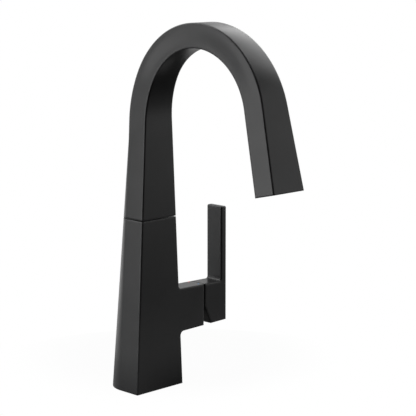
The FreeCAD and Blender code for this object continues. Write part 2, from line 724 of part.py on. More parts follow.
def arch_outline(body, name, inset, foot, end_inset):
    """The gooseneck seen from the side, drawn in by a wall on both faces."""
    sketch = new_sketch(body, name, "YZ_Plane")
    inner = f"({inset})"
    steps = [("rise_y", "rise_z", "rise_angle"), ("crown_y", "crown_z", "crown_turn"),
             ("fall_y", "fall_z", "leg_turn")]
    radii = ("rise_radius", "crown_radius", "fall_radius")
    under = [(f"front_y + {inner}", foot),
             (f"front_y + {inner}", "spring_height", f"rise_radius + {inner}", 1)]
    for index, (y, z, turn) in enumerate(steps):
        corner = (f"{y} + {inner} * cos({turn})", f"{z} + {inner} * sin({turn})")
        if index < 2:
            corner += (f"{radii[index + 1]} + {inner}", 1)
        under.append(corner)
    over = f"(arch_depth - {inner})"
    shift = "depth_loss"
    above = [(f"neck_rear - {inner}", foot), (f"neck_rear - {inner}", "spring_height")]
    for y, z, turn in steps:
        above.append((f"{y} + {over} * cos({turn}) + {shift}", f"{z} + {over} * sin({turn})"))
    along = (f"({end_inset}) * sin(leg_turn)", f"({end_inset}) * cos(leg_turn)")
    under_end = (f"tip_y + {inner} * cos(leg_turn) + {along[0]}",
                 f"tip_z + {inner} * sin(leg_turn) - {along[1]}")
    reach = f"(leg_depth - {inner})"
    above_end = (f"tip_y + {reach} * cos(leg_turn) + {along[0]}",
                 f"tip_z + {reach} * sin(leg_turn) - {along[1]}")
    back = list(reversed(above))
    outer_radii = [f"{radius} + {over}" for radius in reversed(radii)]
    returning = []
    for index, corner in enumerate(back):
        returning.append(corner + ((outer_radii[index], -1) if index < 3 else ()))
    return draw_outline(sketch, under + [under_end, above_end] + returning)


def side_trim(body, name, low, high, inset):
    """What lies outside the two leaning sides, seen from the front."""
    sketch = new_sketch(body, name, "XZ_Plane")
    beyond = "base_width"
    bottom = f"{half_width(low)} - {inset}"
    top = f"{half_width(high)} - {inset}"
    draw_outline(sketch, [(bottom, low), (beyond, low), (beyond, high), (top, high)])
    draw_outline(sketch, [(f"-({bottom})", low), (f"-({top})", high), (f"-({beyond})", high),
                          (f"-({beyond})", low)])
    return sketch


def trimmed_arch(body, prefix, inset, foot, end_inset):
    """The arch padded across and trimmed to the leaning sides."""
    pad(body, arch_outline(body, prefix + "_side", inset, foot, end_inset), "base_width", True)
    reach = "3 * (spring_height + crown_radius)"
    pocket(body, side_trim(body, prefix + "_trim", "core_top", "spring_height + neck_height", inset),
           reach, True)


def spout_form():
    """The outside of the spout."""
    body = new_body("SpoutForm")
    trimmed_arch(body, "arch", "0", "neck_height - neck_lap", "0")

    def outer_long(edge):
        """Long edges on the rear and upper face of the ribbon."""
        return is_long(edge) and arch_distance(middle_of(edge)) > number("leg_depth") - 0.1

    round_edges(body, "OuterEdges", "edge_round", outer_long)
    loft(body, "AdditiveLoft", [
        form_section(body, "leg_foot", "spout_foot"),
        form_section(body, "leg_neck", "neck_height"),
    ])

    def inner_long(edge):
        """Long edges on the front face of the leg and the underside of the arch."""
        return is_long(edge) and abs(arch_distance(middle_of(edge))) < 0.1

    round_edges(body, "InnerEdges", "edge_round", inner_long)
    doc.recompute()
    return body


def arch_distance(point):
    """How far a point stands off the underside of the arch, outwards."""
    y, z = point.y, point.z
    if z < number("spring_height") and y > number("hose_y - neck_depth"):
        return y - number("front_y")
    turns = [0.0] + [math.radians(number(t)) for t in ("rise_angle", "crown_turn", "leg_turn")]
    start = Vector(0, number("front_y"), number("spring_height"))
    for index, name in enumerate(("rise_radius", "crown_radius", "fall_radius")):
        radius = number(name)
        a, b = turns[index], turns[index + 1]
        centre = start - Vector(0, math.cos(a), math.sin(a)) * radius
        angle = math.atan2(z - centre.z, y - centre.y)
        if a <= angle <= b:
            return math.hypot(y - centre.y, z - centre.z) - radius
        start = centre + Vector(0, math.cos(b), math.sin(b)) * radius
    return (y - start.y) * math.cos(turns[3]) + (z - start.z) * math.sin(turns[3])


def middle_of(edge):
    return edge.valueAt((edge.FirstParameter + edge.LastParameter) / 2)


def is_long(edge):
    """Whether an edge runs along the spout, not level across it."""
    return edge.BoundBox.ZLength > 5 * number("edge_round")


def spout_cavity():
    """The hollow inside the spout, from its floor to the solid block at the outlet."""
    body = new_body("SpoutCavity")
    trimmed_arch(body, "hollow", "spout_wall", "neck_height", "outlet_block")
    loft(body, "AdditiveLoft", [
        form_section(body, "hollow_foot", "spout_foot + spout_floor", "spout_wall"),
        form_section(body, "hollow_neck", "neck_height", "spout_wall", "edge_round"),
    ])
    doc.recompute()
    return body


def outlet_cylinder(radius, length):
    """A bore straight up the outlet, from the end of the spout."""
    piece = doc.addObject("Part::Cylinder", "OutletBore")
    piece.setExpression("Radius", bound(radius))
    piece.setExpression("Height", bound(length))
    return place(piece, *FRAMES["outlet"])


def flange_screw_places():
    count = int(number("flange_screw_count"))
    for index in range(count):
        angle = f"(90 + {index} * 360 / flange_screw_count)"
        yield (f"screw_circle * cos{angle}", f"swivel_y + screw_circle * sin{angle}")


def make_spout():
    bores = [
        cylinder("flange_radius + fit", "flange_depth + 1", ("0", "swivel_y", "spout_foot - 1")),
        cylinder("hose_radius", "spout_floor + 1", ("0", "swivel_y", "spout_foot")),
        outlet_cylinder("aerator_radius + fit", "outlet_bore_depth"),
        outlet_cylinder("hose_radius + 4 * fit", "outlet_block + 1"),
    ]
    for x, y in flange_screw_places():
        bores.append(cylinder("flange_screw_radius + fit", "flange_screw_length",
                              (x, y, "spout_foot")))
    hollow = without("SpoutHollow", spout_form(), [spout_cavity()])
    node("spout_shell", without("Spout", hollow, bores))


def make_swivel():
    """The spigot under the spout, and what it turns in and is held by."""
    seal_seat = "spigot_radius - 2 * seal_cord"
    gland = "2 * seal_cord + gland_play"
    low, high = "deck_underside + 3", "groove_height - 3 - 2 * seal_cord"
    riser = "riser_radius + running"
    gland_z = "spigot_foot + 3"
    deep = f"{riser} + 2 * seal_cord"
    outline = [
        (riser, "spigot_foot"), ("spigot_radius", "spigot_foot"),
        ("spigot_radius", "clip_z - fit"), ("clip_seat", "clip_z - fit"),
        ("clip_seat", "clip_z + clip_depth + fit"), ("spigot_radius", "clip_z + clip_depth + fit"),
        ("spigot_radius", low), (seal_seat, low),
        (seal_seat, f"{low} + {gland}"), ("spigot_radius", f"{low} + {gland}"),
        ("spigot_radius", high), (seal_seat, high),
        (seal_seat, f"{high} + {gland}"), ("spigot_radius", f"{high} + {gland}"),
        ("spigot_radius", "spout_foot"), ("flange_radius", "spout_foot"),
        ("flange_radius", "flange_top"), ("nipple_radius", "flange_top"),
        ("nipple_radius", "nipple_top"), ("nipple_bore", "nipple_top"),
        ("nipple_bore", "riser_top + 2"), (riser, "riser_top + 2"),
        (riser, f"{gland_z} + {gland}"), (deep, f"{gland_z} + {gland}"),
        (deep, gland_z), (riser, gland_z),
    ]
    screw_holes = []
    for x, y in flange_screw_places():
        screw_holes.append(cylinder("flange_screw_radius + fit", "flange_depth + 2",
                                    (x, y, "spout_foot - 1")))
        screw_holes.append(cylinder("flange_screw_head + fit", "screw_head_depth + 1",
                                    (x, y, "spout_foot - 1")))
    node("spout_spigot", without("Spigot", turned("spigot", outline, "swivel"), screw_holes))
    node("spigot_seals", grouped("SpigotSeals", [
        ring_seal("spigot_radius - seal_cord + fit / 2", f"{z} + seal_cord + gland_play / 2",
                  "swivel") for z in (low, high)]))
    node("riser_seals", grouped("RiserSeals", [
        ring_seal("riser_radius + seal_cord + fit / 2", "core_top - 4 + seal_cord + gland_play / 2",
                  "swivel")]))
    node("spigot_inner_seal", ring_seal(f"{riser} + seal_cord",
                                        f"{gland_z} + seal_cord + gland_play / 2", "swivel"))
    node("swivel_bush", tube("bush", "spigot_radius + running", "bush_outer", "deck_underside",
                             "groove_height", "swivel"))
    node("glide_ring", tube("glide", "spigot_radius + 4 * running", "glide_radius",
                            "groove_height", "spout_foot - glide_play", "swivel"))
    node("thrust_washer", tube("thrust", "spigot_radius + fit", "bush_outer + clip_depth",
                               "thrust_z", "thrust_z + thrust_depth", "swivel"))
    node("riser_tube", tube("riser", "riser_radius - riser_wall", "riser_radius", "riser_foot",
                            "riser_top", "swivel"))
    node("retaining_clip", retaining_clip())
    node("flange_screws", grouped("FlangeScrews", flange_screws()))


def retaining_clip():
    """A split ring in the groove at the spigot's foot, open towards the rear."""
    ring = tube("clip_ring", "clip_seat + fit", "clip_seat + clip_width", "clip_z",
                "clip_z + clip_depth", "swivel")
    body = new_body("ClipMouth")
    sketch = new_sketch(body, "clip_mouth_sector", "XY_Plane", "clip_z - 1")
    reach = "3 * spigot_radius"
    wide = f"{reach} * tan(clip_mouth / 2)"
    draw_outline(sketch, [("0", "0"), (wide, reach), (f"-({wide})", reach)])
    pad(body, sketch, "clip_depth + 2")
    place(body, *FRAMES["swivel"])
    return without("Clip", ring, [body])


def flange_screws():
    """Screws that hold the spigot's flange up to the spout's floor."""
    for x, y in flange_screw_places():
        head = cylinder("flange_screw_head", "screw_head_depth - 2 * fit", (x, y, "spout_foot + fit"))
        thread = cylinder("flange_screw_radius", "flange_screw_length - fit - side_play",
                          (x, y, "spout_foot + fit"))
        socket = cylinder("hex_socket", "screw_head_depth / 2", (x, y, "spout_foot"))
        yield without("FlangeScrew", joined("ScrewBlank", [head, thread]), [socket])


def hose_path(body):
    """The hose's line: up from the spigot, across into the rear leg, and over the arch."""
    sketch = new_sketch(body, "hose_line", "YZ_Plane")
    middle_z = "bend_foot + bend_height / 2"
    middle_y = "(swivel_y + hose_y) / 2"
    half = "arch_depth / 2"
    shift = "depth_loss / 2"
    corners = [
        ("swivel_y", "hose_foot"),
        ("swivel_y", "bend_foot", "bend_radius", 1),
        (middle_y, middle_z, "bend_radius", -1),
        ("hose_y", "bend_foot + bend_height"),
        ("hose_y", "spring_height", f"rise_radius + {half}", 1),
        (f"rise_y + {half} * cos(rise_angle) + {shift}", f"rise_z + {half} * sin(rise_angle)",
         f"crown_radius + {half}", 1),
        (f"crown_y + {half} * cos(crown_turn) + {shift}", f"crown_z + {half} * sin(crown_turn)",
         f"fall_radius + {half}", 1),
        (f"fall_y + {half} * cos(leg_turn) + {shift}", f"fall_z + {half} * sin(leg_turn)"),
        ("outlet_y + (shelf_depth + 1) * sin(leg_turn)",
         "outlet_z - (shelf_depth + 1) * cos(leg_turn)"),
    ]
    return draw_outline(sketch, corners, closed=False)


def make_hose():
    """The inner hose, pushed on both nipples and held by ferrules."""
    body = new_body("Hose")
    path = hose_path(body)
    ring = new_sketch(body, "hose_ring", "XY_Plane", "hose_foot")
    draw_circle(ring, "hose_radius", "0", "swivel_y")
    draw_circle(ring, "hose_radius - hose_wall", "0", "swivel_y")
    feature = body.newObject("PartDesign::AdditivePipe", "hose_pipe")
    feature.Profile = ring
    feature.Spine = path
    node("spout_hose", body)
    bore = "hose_radius + fit"
    outer = "hose_radius + fit + ferrule_wall"
    start = "hose_foot + 2"
    node("lower_ferrule", tube("ferrule_low", bore, outer, start, f"{start} + ferrule_length",
                               "swivel"))
    end = "outlet_block + 1"
    node("upper_ferrule", tube("ferrule_high", bore, outer, end, f"{end} + ferrule_length",
                               "outlet"))


def make_outlet():
    """What is stacked in the end of the spout."""
    wall = "aerator_radius - aerator_wall"
    node("aerator_housing", turned("aerator_shell", [
        (f"{wall} - 1", "aerator_recess"), ("aerator_radius - 0.6", "aerator_recess"),
        ("aerator_radius", "aerator_recess + 0.6"), ("aerator_radius", "aerator_end"),
        (wall, "aerator_end"), (wall, "aerator_recess + 1.2"),
        (f"{wall} - 1", "aerator_recess + 1.2"),
    ], "outlet"))
    node("aerator_insert", aerator_insert())
    node("aerator_washer", tube("outlet_washer", "regulator_radius + 4 * fit", "aerator_radius - fit",
                                "aerator_end", "adapter_foot", "outlet"))
    seat = "regulator_radius + fit"
    node("outlet_adapter", turned("adapter_shell", [
        (seat, "adapter_foot"), ("aerator_radius", "adapter_foot"),
        ("aerator_radius", "shelf_depth"), ("nipple_radius", "shelf_depth"),
        ("nipple_radius", "outlet_nipple"), ("nipple_bore", "outlet_nipple"),
        ("nipple_bore", "adapter_foot + regulator_depth"),
        (seat, "adapter_foot + regulator_depth"),
    ], "outlet"))
    node("flow_regulator", tube("regulator", "jet_radius", "regulator_radius", "adapter_foot",
                                "adapter_foot + regulator_depth", "outlet"))


def aerator_insert():
    """A cup whose plate has two rings of water holes."""
    body = new_body("Insert")
    outer = "aerator_radius - aerator_wall - fit"
    foot = "aerator_recess + 1.2"
    cup = draw_outline(new_sketch(body, "insert_outline", "XZ_Plane"), [
        ("0", foot), (outer, foot), (outer, "aerator_end"), (f"{outer} - 1", "aerator_end"),
        (f"{outer} - 1", f"{foot} + jet_depth"), ("0", f"{foot} + jet_depth"),
    ])
    feature = body.newObject("PartDesign::Revolution", "insert_turned")
    feature.Profile = cup
    feature.ReferenceAxis = (cup, ["V_Axis"])
    feature.Angle = 360
    place(body, *FRAMES["outlet"])
    for circle, count in (("inner_jet_circle", 6), ("outer_jet_circle", 12)):
        sketch = new_sketch(body, circle, "XY_Plane", foot)
        draw_circle(sketch, "jet_radius", circle)
        hole = pocket(body, sketch, "jet_depth + 1", backwards=True)
        doc.recompute()
        pattern = body.newObject("PartDesign::PolarPattern", circle + "_ring")
        pattern.Originals = [hole]
        pattern.Axis = (sketch, ["N_Axis"])
        pattern.Angle = 360
        pattern.Occurrences = count
        body.Tip = pattern
        doc.recompute()
    return body


# ---- valve

def port_places():
    return [("valve_y + port_side", "port_z"), ("valve_y - port_side", "port_z"),
            ("valve_y", "mixed_z")]


def ports(radius, start, length):
    """Holes through a disc at the two inlet ports and the mixed port."""
    return [cylinder(radius, length, (start, y, z), "x") for y, z in port_places()]


def make_cartridge():
    """The still parts of the joystick cartridge, from its seat outwards."""
    gland = "cartridge_base_depth - 3"
    groove = "cartridge_radius - 2 * seal_cord"
    base = turned("cartridge_foot", [
        ("0", "base_x"), ("cartridge_radius", "base_x"),
        ("cartridge_radius", f"base_x + {gland}"), (groove, f"base_x + {gland}"),
        (groove, f"base_x + {gland} + 2 * seal_cord + gland_play"),
        ("cartridge_radius", f"base_x + {gland} + 2 * seal_cord + gland_play"),
        ("cartridge_radius", "fixed_disc_x"), ("0", "fixed_disc_x"),
    ], "valve")
    holes = ports("inlet_port_radius", "base_x - 1", "cartridge_base_depth + 2")
    holes += ports("seal_radius + fit", "base_x - 1", "1 + seal_depth - port_foot + fit")
    node("cartridge_base", without("CartridgeBase", base, holes))
    seals = [without("PortSeal", outer, [inner]) for outer, inner in zip(
        ports("seal_radius", "seat_reach", "seal_depth"),
        ports("seal_radius - seal_wall", "seat_reach - 1", "seal_depth + 2"))]
    node("port_seals", grouped("PortSeals", seals))
    node("cartridge_seal", ring_seal("cartridge_radius - seal_cord + fit / 2",
                                     f"base_x + {gland} + seal_cord + gland_play / 2", "valve"))
    disc = cylinder("fixed_disc_radius", "disc_depth", ("fixed_disc_x", "valve_y", "handle_height"),
                    "x")
    node("fixed_disc", without("FixedDisc", disc, ports("inlet_port_radius", "fixed_disc_x - 1",
                                                        "disc_depth + 2")))
    node("cartridge_sleeve", tube("sleeve", "cartridge_radius - sleeve_wall", "cartridge_radius",
                                  "fixed_disc_x", "nut_x", "valve"))
    nut = turned("nut_ring", [
        ("nut_throat", "nut_x"), ("cartridge_radius", "nut_x"), ("cartridge_radius", "nut_end"),
        ("nut_mouth", "nut_end"),
    ], "valve")
    slot = box(("nut_end - sleeve_wall", "valve_y - cartridge_radius",
                "handle_height - sleeve_wall"),
               ("nut_end + 1", "valve_y + cartridge_radius", "handle_height + sleeve_wall"))
    node("cartridge_nut", without("CartridgeNut", nut, [slot]))


def flatted_disc(name, start, length):
    """A disc with two flats that the stem carrier's fingers guide."""
    disc = cylinder("moving_disc_radius", length, (start, "valve_y", "carriage_z"), "x")
    flats = box((start, "valve_y - disc_flat", "carriage_z - moving_disc_radius"),
                (f"{start} + {length}", "valve_y + disc_flat", "carriage_z + moving_disc_radius"))
    return shared(name, disc, flats)


def make_moving_disc():
    """The disc that slides and turns on the fixed one, and the carriage that drives it."""
    recess = cylinder("mixing_radius", "mixing_depth + 1",
                      ("moving_disc_x - 1", "valve_y", "carriage_z"), "x")
    node("moving_disc", without("MovingDisc", flatted_disc(
        "DiscBlank", "moving_disc_x", "moving_disc_depth"), [recess]))
    socket_x = "pivot_x - tip_reach - tip_radius - 2 * side_play"
    socket = cylinder("tip_radius + 3 * side_play", f"carriage_end + 1 - ({socket_x})",
                      (socket_x, "valve_y", "carriage_z"), "x")
    node("disc_carriage", without("Carriage", flatted_disc(
        "CarriageBlank", "carriage_x", "carriage_depth"), [socket]))


def make_stem_carrier():
    """The yoke that turns with the handle, with two fingers that take the disc round."""
    start = "carriage_x + 4 * side_play"
    web = "carriage_end + 9 * side_play"
    end = "nut_x - side_play"
    radius = "cartridge_radius - sleeve_wall - running"
    blank = cylinder(radius, f"{end} - ({start})", (start, "valve_y", "handle_height"), "x")
    inner = "disc_flat + side_play"
    slot = "hub_width / 2 + side_play"
    tools = [
        box((f"{start} - 1", f"valve_y - ({inner})", "handle_height - cartridge_radius"),
            (web, f"valve_y + {inner}", "handle_height + cartridge_radius")),
        box((f"{web} + yoke_web", f"valve_y - ({slot})", "handle_height - cartridge_radius"),
            (f"{end} + 1", f"valve_y + {slot}", "handle_height + cartridge_radius")),
        cylinder("yoke_window", "yoke_web + 2", (f"{web} - 1", "valve_y", "handle_height"), "x"),
        cylinder("pin_radius + fit / 5", "2 * cartridge_radius",
                 ("pivot_x", "valve_y - cartridge_radius", "handle_height"), "y"),
    ]
    node("stem_carrier", without("StemCarrier", blank, tools))
    half = "cartridge_radius - sleeve_wall - 4 * side_play"
    node("pivot_pin", cylinder("pin_radius", f"2 * ({half})",
                               ("pivot_x", f"valve_y - ({half})", "handle_height"), "y"))


def make_stem():
    """The joystick: an outer arm into the handle, a hub on the pin and a bent inner arm."""
    shaft = cylinder("stem_radius", "stem_end - pivot_x", ("pivot_x", "valve_y", "handle_height"),
                     "x")
    hub = cylinder("hub_radius", "hub_width", ("pivot_x", "valve_y - hub_width / 2",
                                               "handle_height"), "y")
    arm = doc.addObject("Part::Cylinder", "StemArm")
    arm.setExpression("Radius", bound("arm_radius"))
    arm.setExpression("Height", bound("tip_reach"))
    place(arm, ("pivot_x", "valve_y", "handle_height"), Vector(0, 1, 0), "0")
    arm.setExpression("Placement.Rotation.Angle", bound("-90 - tilt_range / 2"))
    tip = doc.addObject("Part::Sphere", "StemTip")
    tip.setExpression("Radius", bound("tip_radius"))
    place(tip, ("pivot_x - tip_reach * cos(tilt_range / 2)", "valve_y", "carriage_z"))
    pin_hole = cylinder("pin_radius + running", "hub_width + 2",
                        ("pivot_x", "valve_y - hub_width / 2 - 1", "handle_height"), "y")
    flats = [
        box(("pivot_x - 1", f"valve_y {sign} hub_width / 2 - {low}", "handle_height - hub_radius"),
            ("pivot_x + flat_reach", f"valve_y {sign} hub_width / 2 + {high}",
             "handle_height + hub_radius"))
        for sign, low, high in (("-", "2", "0"), ("+", "0", "2"))]
    blank = joined("StemBlank", [shaft, hub, arm, tip])
    node("valve_stem", without("Stem", blank, [pin_hole] + flats))


# ---- handle

def handle_form():
    """The block and the lever seen from the front, padded to their depth."""
    body = new_body("HandleForm")
    sketch = new_sketch(body, "handle_outline", "XZ_Plane", "front_offset")
    draw_outline(sketch, [
        ("slit_x", "handle_height"),
        ("relief_x", underside("relief_x")),
        ("handle_end", underside("handle_end")),
        ("handle_end", "handle_height + lever_rise"),
        ("lever_x", "handle_height + lever_rise"),
        ("lever_x", "lever_hollow_z", "lever_foot", -1),
        ("lever_hollow_x - lever_foot * sag_sin", "lever_hollow_z - lever_foot * sag_cos"),
        ("slit_x", topside("slit_x")),
    ])
    pad(body, sketch, "handle_depth", backwards=True)
    top = number("handle_height + lever_rise")

    def at_tip(edge):
        return edge.BoundBox.ZMin > top - 0.01 and edge.BoundBox.XLength < 0.01

    round_edges(body, "LeverTip", "lever_tip", at_tip)
    front, rear = lies_on("front_y"), lies_on("front_y + handle_depth")
    round_edges(body, "HandleEdges", "handle_edge", lambda edge: front(edge) or rear(edge))
    doc.recompute()
    return body


def make_handle():
    bore = "stem_radius + fit + adapter_wall"
    foot = underside("screw_x")
    tools = [
        cylinder(f"{bore} + fit", "stem_reach + 2", ("slit_x - 1", "valve_y", "handle_height"), "x"),
        cylinder("set_screw_radius + fit", f"handle_height - stem_radius - ({foot}) + 1",
                 ("screw_x", "valve_y", f"{foot} - 1")),
        cylinder("plug_radius + fit", "plug_depth + 2", ("screw_x", "valve_y", f"{foot} - 1")),
    ]
    node("handle", without("Handle", handle_form(), tools))
    adapter = tube("adapter_tube", "stem_radius + fit", bore, "slit_x + adapter_inset",
                   "stem_end", "valve")
    hole = cylinder("set_screw_radius + fit", f"{bore} + 1",
                    ("screw_x", "valve_y", f"handle_height - ({bore}) - 1"))
    node("stem_adapter", without("Adapter", adapter, [hole]))
    screw_top = "handle_height - stem_radius - fit"
    screw = cylinder("set_screw_radius", "set_screw_length",
                     ("screw_x", "valve_y", f"{screw_top} - set_screw_length"))
    socket = new_body("SetScrewSocket")
    sketch = new_sketch(socket, "hex_socket_outline", "XY_Plane",
                        f"{screw_top} - set_screw_length - 1")
    draw_outline(sketch, [(f"screw_x + hex_socket * cos({60 * i})",
                           f"valve_y + hex_socket * sin({60 * i})") for i in range(6)])
    pad(socket, sketch, "3")
    node("handle_set_screw", without("SetScrew", screw, [socket]))
    node("plug_button", cylinder("plug_radius", "plug_depth - 0.2",
                                 ("screw_x", "valve_y", f"{foot} + 0.2")))


def check_document():
    """Stop on any object that failed, and on any piece without a sound shape."""
    doc.recompute()
    for item in doc.Objects:
        if "Invalid" in item.State or "Error" in item.State:
            raise RuntimeError(f"{item.Name} ({item.Label}) is {item.State}")
    for name, piece in nodes.items():
        if piece.Shape.isNull() or not piece.Shape.isValid() or not piece.Shape.Solids:
            raise RuntimeError(f"{name} has no sound shape")


def write_parts():
    os.makedirs("parts", exist_ok=True)
    for name, piece in nodes.items():
        piece.Shape.exportStep(f"parts/{name}.step")
        solids = piece.Shape.Solids
        print(f"{name}: {len(solids)} solid, {sum(s.Volume for s in solids):.1f} mm3")


PLACES_SHEET = fill_sheets()
make_column()
make_mounting()
make_spout()
make_swivel()
make_hose()
make_outlet()
make_cartridge()
make_moving_disc()
make_stem_carrier()
make_stem()
make_handle()
check_document()
write_parts()
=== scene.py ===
"""The gooseneck bar faucet dressed for its portrait: coat, brass, rubber, marks, deck, light."""
import json
import math

import bpy
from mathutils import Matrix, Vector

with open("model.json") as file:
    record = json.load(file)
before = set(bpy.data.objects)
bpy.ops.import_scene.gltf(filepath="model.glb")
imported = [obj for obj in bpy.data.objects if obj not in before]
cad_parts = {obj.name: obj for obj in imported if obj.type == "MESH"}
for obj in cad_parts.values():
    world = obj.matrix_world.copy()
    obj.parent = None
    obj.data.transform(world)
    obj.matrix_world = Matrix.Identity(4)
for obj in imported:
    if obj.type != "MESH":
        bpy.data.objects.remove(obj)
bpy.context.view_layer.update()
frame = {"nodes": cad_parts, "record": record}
bpy.ops.object.select_all(action="DESELECT")


# ---- node helpers

def spread(tree, source, low, high, first, last):
    """A smooth step: first up to low, last from high on."""
    step = tree.nodes.new("ShaderNodeMapRange")
    step.interpolation_type = "SMOOTHSTEP"
    step.inputs["From Min"].default_value = low
    step.inputs["From Max"].default_value = high
    step.inputs["To Min"].default_value = first
    step.inputs["To Max"].default_value = last
    tree.links.new(source, step.inputs["Value"])
    return step.outputs["Result"]


def combine(tree, operation, first, second):
    node = tree.nodes.new("ShaderNodeMath")
    node.operation = operation
    tree.links.new(first, node.inputs[0])
    tree.links.new(second, node.inputs[1])
    return node.outputs[0]


def product(tree, first, second):
    return combine(tree, "MULTIPLY", first, second)


def larger(tree, first, second):
    return combine(tree, "MAXIMUM", first, second)


# ---- finishes

class Finish:
    """A procedural material on Object coordinates, built up node by node."""

    def __init__(self, name, colour, roughness, metallic=0.0, specular=0.5):
        self.material = bpy.data.materials.new(name)
        self.material.use_nodes = True
        self.tree = self.material.node_tree
        self.shader = self.tree.nodes["Principled BSDF"]
        self.shader.inputs["Base Color"].default_value = (*colour, 1.0)
        self.shader.inputs["Roughness"].default_value = roughness
        self.shader.inputs["Metallic"].default_value = metallic
        self.shader.inputs["Specular IOR Level"].default_value = specular
        self.place = self.tree.nodes.new("ShaderNodeTexCoord")
        self.bump = None

    def noise(self, scale, detail=2.0, stretch=None):
        node = self.tree.nodes.new("ShaderNodeTexNoise")
        node.inputs["Scale"].default_value = scale
        node.inputs["Detail"].default_value = detail
        source = self.place.outputs["Object"]
        if stretch:
            mapping = self.tree.nodes.new("ShaderNodeMapping")
            mapping.inputs["Scale"].default_value = stretch
            self.tree.links.new(source, mapping.inputs["Vector"])
            source = mapping.outputs["Vector"]
        self.tree.links.new(source, node.inputs["Vector"])
        return node.outputs["Fac"]

    def vary_roughness(self, scale, low, high):
        """Silkier and duller patches; the noise seldom leaves 0.3 to 0.7."""
        patches = self.tree.nodes.new("ShaderNodeMapRange")
        patches.inputs["From Min"].default_value = 0.3
        patches.inputs["From Max"].default_value = 0.7
        patches.inputs["To Min"].default_value = low
        patches.inputs["To Max"].default_value = high
        self.tree.links.new(self.noise(scale), patches.inputs["Value"])
        self.tree.links.new(patches.outputs["Result"], self.shader.inputs["Roughness"])

    def vary_colour(self, scale, dark, light):
        ramp = self.tree.nodes.new("ShaderNodeValToRGB")
        ramp.color_ramp.elements[0].position = 0.35
        ramp.color_ramp.elements[0].color = (*dark, 1.0)
        ramp.color_ramp.elements[1].position = 0.65
        ramp.color_ramp.elements[1].color = (*light, 1.0)
        self.tree.links.new(self.noise(scale, 4.0), ramp.inputs["Fac"])
        self.tree.links.new(ramp.outputs["Color"], self.shader.inputs["Base Color"])

    def relief(self, height, distance, strength=1.0, under=None):
        """A bump on top of the reliefs before it, or on the normal given as under."""
        bump = self.tree.nodes.new("ShaderNodeBump")
        bump.inputs["Strength"].default_value = strength
        bump.inputs["Distance"].default_value = distance
        self.tree.links.new(height, bump.inputs["Height"])
        if self.bump:
            under = self.bump.outputs["Normal"]
        if under:
            self.tree.links.new(under, bump.inputs["Normal"])
        self.tree.links.new(bump.outputs["Normal"], self.shader.inputs["Normal"])
        self.bump = bump

    def grain(self, scale, depth, strength, stretch=None):
        self.relief(self.noise(scale, 3.0, stretch), depth, strength)


ARCH_HUB = (0.0, -0.0904, 0.286)      # about the middle of the crown's arcs
BETWEEN_BANDS = (0.064, 0.080)        # radii from the hub: past the inner band, short of the outer
INNER_FALL, OUTER_FALL = 10.0, 4.0    # how fast a band falls off beside its middle line, in 1/m
CROWN_HEIGHTS = (0.300, 0.350)        # the swelling starts at the first and is full at the second
SOFT_EDGE = 0.0024                    # radius to which the coat softens the castings' edges


def swell(finish):
    """The coat softens the edges, and the arch's bands swell across their width at the crown."""
    tree, nodes, links = finish.tree, finish.tree.nodes, finish.tree.links
    apart = nodes.new("ShaderNodeSeparateXYZ")
    links.new(finish.place.outputs["Object"], apart.inputs[0])
    flat = nodes.new("ShaderNodeVectorMath")
    flat.operation = "MULTIPLY"
    flat.inputs[1].default_value = (0.0, 1.0, 1.0)
    links.new(finish.place.outputs["Object"], flat.inputs[0])
    radius = nodes.new("ShaderNodeVectorMath")
    radius.operation = "DISTANCE"
    radius.inputs[1].default_value = ARCH_HUB
    links.new(flat.outputs["Vector"], radius.inputs[0])
    fall = spread(tree, radius.outputs["Value"], *BETWEEN_BANDS, -INNER_FALL, -OUTER_FALL)
    square = product(tree, apart.outputs["X"], apart.outputs["X"])
    near_crown = spread(tree, apart.outputs["Z"], *CROWN_HEIGHTS, 0.0, 1.0)
    edge = nodes.new("ShaderNodeBevel")
    edge.samples = 8
    edge.inputs["Radius"].default_value = SOFT_EDGE
    height = product(tree, product(tree, square, fall), near_crown)
    finish.relief(height, 1.0, under=edge.outputs["Normal"])


def satin_black():
    """Black powder coat: a fine peel over cast brass, a little silkier in broad patches."""
    finish = Finish("satin_black_coat", (0.008, 0.008, 0.0082), 0.33, specular=0.15)
    finish.vary_colour(55.0, (0.0073, 0.0075, 0.0077), (0.0087, 0.0088, 0.0091))
    finish.vary_roughness(28.0, 0.31, 0.36)
    swell(finish)
    finish.grain(2600.0, 0.000012, 0.6)
    finish.grain(420.0, 0.00003, 0.25)
    return finish.material


def black_plastic():
    finish = Finish("black_moulded_plastic", (0.012, 0.012, 0.012), 0.6, specular=0.15)
    finish.vary_roughness(140.0, 0.55, 0.65)
    finish.grain(1800.0, 0.00002, 0.6)
    return finish.material


def grey_plastic():
    finish = Finish("grey_aerator_plastic", (0.30, 0.31, 0.32), 0.42)
    finish.vary_roughness(160.0, 0.36, 0.48)
    finish.grain(1500.0, 0.00002, 0.5)
    return finish.material


def white_plastic():
    finish = Finish("white_valve_plastic", (0.72, 0.72, 0.69), 0.45)
    finish.vary_colour(60.0, (0.70, 0.70, 0.67), (0.74, 0.74, 0.71))
    finish.grain(900.0, 0.00002, 0.4)
    return finish.material


def hose_plastic():
    finish = Finish("clear_white_hose", (0.68, 0.69, 0.64), 0.38)
    finish.vary_colour(40.0, (0.64, 0.65, 0.60), (0.71, 0.72, 0.67))
    finish.grain(300.0, 0.00004, 0.4)
    return finish.material


def ceramic():
    finish = Finish("ground_ceramic", (0.78, 0.77, 0.72), 0.16)
    finish.vary_roughness(220.0, 0.12, 0.22)
    finish.grain(2400.0, 0.000006, 0.4)
    return finish.material


def brass():
    """Turned brass, its tool marks running round the upright axis."""
    finish = Finish("turned_brass", (0.70, 0.52, 0.24), 0.30, metallic=1.0)
    finish.vary_colour(70.0, (0.66, 0.48, 0.21), (0.74, 0.56, 0.27))
    finish.grain(60.0, 0.00003, 0.5, stretch=(1.0, 1.0, 40.0))
    return finish.material


